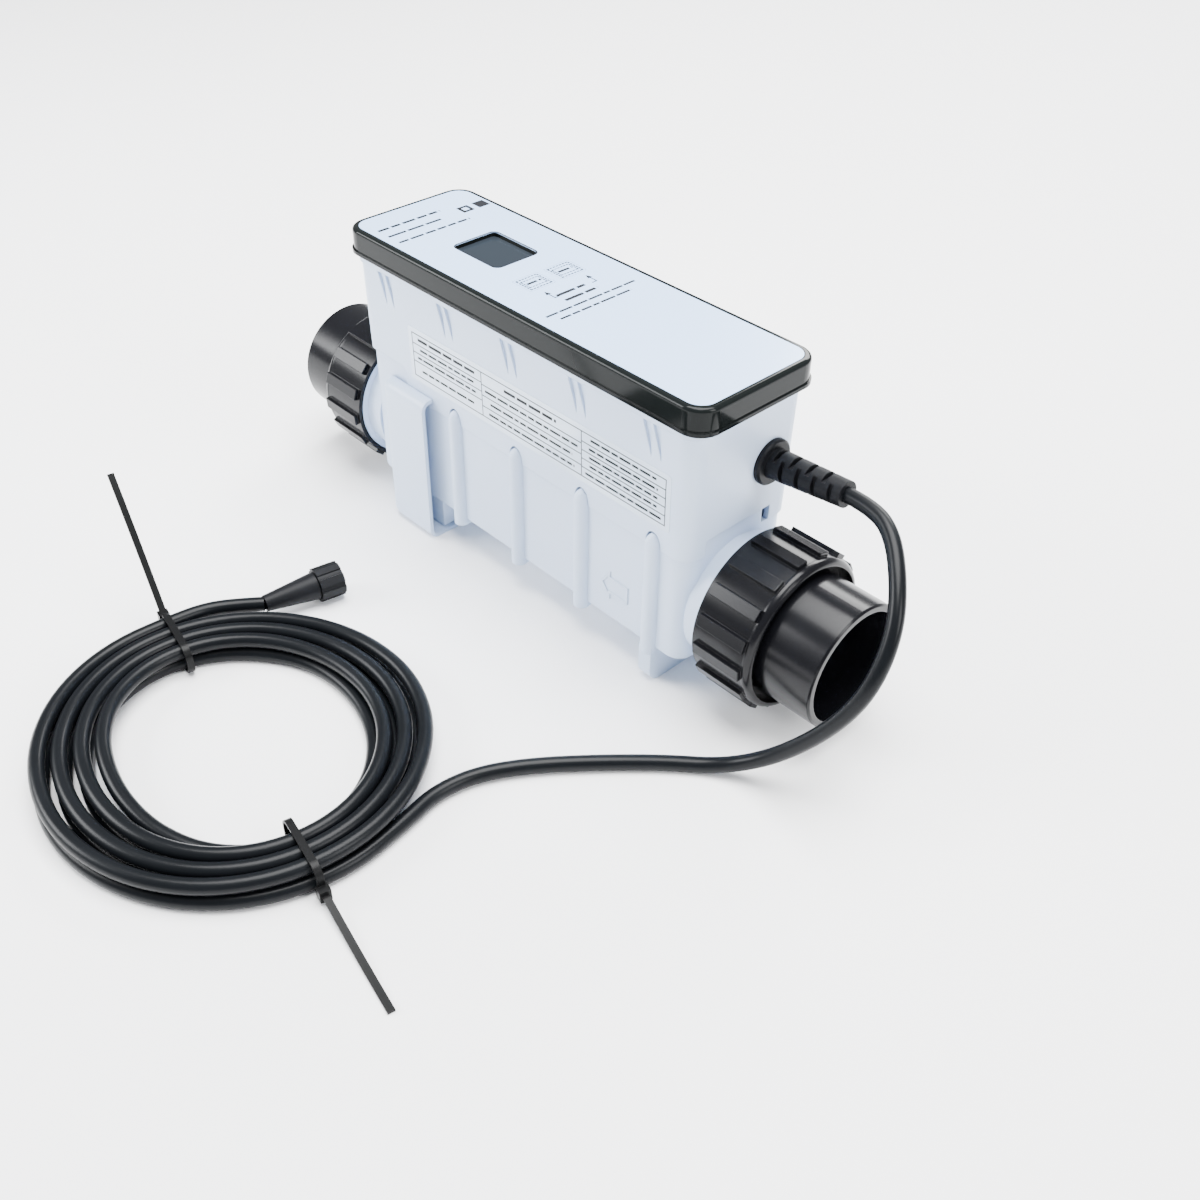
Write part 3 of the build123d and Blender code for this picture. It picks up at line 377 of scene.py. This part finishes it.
def printed(name, shapes, origin, across, upwards, body, finish="ink"):
    # Ink shapes in millimetres, laid on the plane through origin and riding on a body.
    across = Vector(across).normalized()
    upwards = Vector(upwards).normalized()
    outwards = across.cross(upwards)
    mesh = bmesh.new()
    for shape in shapes:
        corners = [mesh.verts.new((Vector(origin) + across * u + upwards * v) * mm) for u, v in shape]
        mesh.faces.new(corners)
    grown = bmesh.ops.extrude_face_region(mesh, geom=mesh.faces[:], use_keep_orig=True)
    tops = [item for item in grown["geom"] if isinstance(item, bmesh.types.BMVert)]
    bmesh.ops.translate(mesh, verts=tops, vec=outwards * inkThickness * mm)
    bmesh.ops.recalc_face_normals(mesh, faces=mesh.faces[:])
    data = bpy.data.meshes.new(name)
    mesh.to_mesh(data)
    mesh.free()
    data.materials.append(materials[finish])
    obj = bpy.data.objects.new(name, data)
    bpy.context.collection.objects.link(obj)
    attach(obj, body)
    return obj


rim = {
    "corner": 3.2,
    "gap": 0.25,
    "width": 0.8,
    "steps": 6,
}


def windowRim():
    # The dark line round the display window, with the window's own rounded corners.
    low, high = [Vector(corner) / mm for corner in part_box("display_module")]
    left, right, foot, head = low.y, high.y, -high.x, -low.x
    corners = ((right, head), (left, head), (left, foot), (right, foot))
    lines = []
    for grow in (rim["gap"], rim["gap"] + rim["width"]):
        radius = rim["corner"] + grow
        line = []
        for corner, (u, v) in enumerate(corners):
            inward = Vector((-1 if u == right else 1, -1 if v == head else 1)) * rim["corner"]
            for step in range(rim["steps"] + 1):
                angle = pi / 2 * (corner + step / rim["steps"])
                line.append((u + inward.x + radius * cos(angle), v + inward.y + radius * sin(angle)))
        lines.append(line)
    inner, outer = lines
    return [[outer[i - 1], outer[i], inner[i], inner[i - 1]] for i in range(len(inner))]


# Rows on the panel read along +Y, and each next row lies at a larger x.
panel = {
    "rows": [
        {"x": -114.5, "y": -33.0, "length": 42, "height": 3.6},
        {"x": -105.0, "y": -33.0, "length": 36, "height": 3.2},
        {"x": -95.5, "y": -33.0, "length": 48, "height": 3.2},
        {"x": 5.5, "y": -12.0, "length": 19.0, "height": 3.6},
        {"x": 12.0, "y": -12.0, "length": 22.0, "height": 3.6},
        {"x": 19.5, "y": -31.0, "length": 60, "height": 2.6},
        {"x": 25.5, "y": -27.0, "length": 48, "height": 2.6},
    ],
    "openSquare": (17.5, 101.5, 25.0, 109.0),
    "squareLine": 1.9,
    "fullSquare": (28.5, 101.5, 36.0, 109.0),
    "seed": 4,
}
# Bent arrows, each with its place across the panel and the way that its foot turns.
arrows = {
    "places": ((-13.8, 1), (14.5, -1)),
    "foot": -8.5,
    "neck": -3.5,
    "tip": 0.0,
    "line": 0.6,
    "headWidth": 3.0,
    "reach": 3.0,
}


def printPanel():
    choose = random.Random(panel["seed"])
    shapes = []
    for row in panel["rows"]:
        shapes += markRow(row["y"], -row["x"] - row["height"], row["length"], row["height"], choose)
    shapes += outline(*panel["openSquare"], panel["squareLine"])
    shapes.append(bar(*panel["fullSquare"]))
    # From the rows below the keys up to each key.
    foot, neck, line = arrows["foot"], arrows["neck"], arrows["line"]
    half = arrows["headWidth"] / 2
    for side, turn in arrows["places"]:
        end = side + arrows["reach"] * turn
        shapes.append(bar(side - line / 2, foot, side + line / 2, neck))
        shapes.append([(side - half, neck), (side + half, neck), (side, arrows["tip"])])
        shapes.append(bar(min(side, end), foot, max(side, end), foot + line))
    shapes += windowRim()
    printed("panelMarks", shapes, (0, 0, panelTop), (0, 1, 0), (-1, 0, 0), "housing")


keyMarks = {
    "seeds": (("less_key", 7), ("more_key", 9)),
    "margin": 2.2,  # past the hidden lip round the key's foot
    "outerLine": 0.75,
    "innerLine": 0.6,
    "dash": 1.4,
    "innerSide": 1.3,
    "innerEnd": 2.3,
    "rowSide": 2.6,
    "rowHeight": 3.0,
}


def printKeys():
    side, end, dash = keyMarks["innerSide"], keyMarks["innerEnd"], keyMarks["dash"]
    rowSide, rowHeight = keyMarks["rowSide"], keyMarks["rowHeight"]
    for name, seed in keyMarks["seeds"]:
        low, high = [Vector(corner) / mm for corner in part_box(name)]
        left, right = low.y + keyMarks["margin"], high.y - keyMarks["margin"]
        foot, head = -high.x + keyMarks["margin"], -low.x - keyMarks["margin"]
        shapes = dashes(left, foot, right, head, keyMarks["outerLine"], dash)
        shapes += dashes(left + side, foot + end, right - side, head - end, keyMarks["innerLine"], dash)
        choose = random.Random(seed)
        rowFoot = (foot + head - rowHeight) / 2
        shapes += markRow(left + rowSide, rowFoot, right - left - 2 * rowSide, rowHeight, choose)
        printed(name + "_marks", shapes, (0, 0, keyTop), (0, 1, 0), (-1, 0, 0), name)


# A ruled table on the label, its columns and rows given from its top left corner.
label = {
    "columns": (-81.5, -22.5, 54.4, 112.6),
    "top": 130.0,
    "lean": radians(1.0),
    "rowHeights": ((6.5, 5.5, 5.5, 9.5), (7.5, 6.5, 6.5, 6.5), (6.0, 5.0, 5.0, 5.0, 6.0)),
    "line": 0.55,
    "text": 2.4,
    "headText": 3.0,  # in the top row of the first two columns
    "margin": 2.0,
    "fill": (0.8, 0.98),  # how much of a cell's width a row takes
    "titleFill": 0.55,  # the same at the head of the middle column
    "seed": 11,
}


def printLabel():
    choose = random.Random(label["seed"])
    line = label["line"]
    left, right = label["columns"][0], label["columns"][-1]
    depth = sum(label["rowHeights"][0])
    rules = outline(left, -depth, right, 0, line)
    rules += [bar(u - line / 2, -depth, u + line / 2, 0) for u in label["columns"][1:-1]]
    marks = []
    for column, heights in enumerate(label["rowHeights"]):
        start, end = label["columns"][column:column + 2]
        level = 0
        for number, height in enumerate(heights):
            level -= height
            if number < len(heights) - 1:
                rules.append(bar(start, level - line / 2, end, level + line / 2))
            text = label["headText"] if number == 0 and column < 2 else label["text"]
            room = end - start - 2 * label["margin"]
            isTitle = number == 0 and column == 1
            length = room * (label["titleFill"] if isTitle else choose.uniform(*label["fill"]))
            begin = start + (end - start - length) / 2
            marks += markRow(begin, level + (height - text) / 2, length, text, choose)
    # The label leans with the housing's side, so its face lies further back below its top edge.
    slide = (labelHigh.z - label["top"]) * tan(label["lean"])
    origin = (0, labelLow.y + slide, label["top"])
    upwards = (0, -sin(label["lean"]), cos(label["lean"]))
    printed("labelRules", rules, origin, (1, 0, 0), upwards, "housing", "inkSoft")
    printed("labelMarks", marks, origin, (1, 0, 0), upwards, "housing")


printPanel()
printKeys()
printLabel()
print("printing done")

studio = {
    "floorSize": 9.0,
    "floorColour": (0.97, 0.972, 0.98),
    "floorRough": 0.8,
    "floorShine": 0.1,
    "worldColour": (0.95, 0.965, 1.0),
    "worldStrength": 0.55,
}
# Soft boxes, all aimed at one point: place and size in metres, power in watts.
softBoxes = {
    "above": {"place": (0.0, 0.1, 1.9), "size": (1.5, 1.5), "power": 150, "colour": (1, 1, 1)},
    "left": {"place": (-1.3, -1.3, 1.0), "size": (1.0, 0.9), "power": 60, "colour": (0.97, 0.985, 1)},
    "right": {"place": (1.7, 0.3, 1.1), "size": (0.6, 1.0), "power": 26, "colour": (1, 1, 1)},
    "behind": {"place": (-0.5, 1.8, 1.2), "size": (1.2, 0.6), "power": 50, "colour": (1, 1, 1)},
}
lightTarget = Vector((0, -0.05, 0.08))


def addStudio():
    world = bpy.data.worlds.new("studio")
    bpy.context.scene.world = world
    world.use_nodes = True
    background = world.node_tree.nodes["Background"]
    background.inputs["Color"].default_value = (*studio["worldColour"], 1)
    background.inputs["Strength"].default_value = studio["worldStrength"]

    half = studio["floorSize"] / 2
    mesh = bmesh.new()
    corners = ((-half, -half), (half, -half), (half, half), (-half, half))
    mesh.faces.new([mesh.verts.new((x, y, 0)) for x, y in corners])
    data = bpy.data.meshes.new("floor")
    mesh.to_mesh(data)
    mesh.free()
    material = bpy.data.materials.new("floorPaper")
    material.use_nodes = True
    shader = material.node_tree.nodes["Principled BSDF"]
    shader.inputs["Base Color"].default_value = (*studio["floorColour"], 1)
    shader.inputs["Roughness"].default_value = studio["floorRough"]
    shader.inputs["Specular IOR Level"].default_value = studio["floorShine"]
    data.materials.append(material)
    floor = bpy.data.objects.new("floor", data)
    bpy.context.collection.objects.link(floor)

    for name, box in softBoxes.items():
        light = bpy.data.lights.new(name, "AREA")
        light.shape = "RECTANGLE"
        light.size, light.size_y = box["size"]
        light.energy = box["power"]
        light.color = box["colour"]
        obj = bpy.data.objects.new(name, light)
        place = Vector(box["place"])
        turn = (lightTarget - place).to_track_quat("-Z", "Y").to_matrix().to_4x4()
        obj.matrix_world = Matrix.Translation(place) @ turn
        bpy.context.collection.objects.link(obj)


addStudio()
print("studio done")
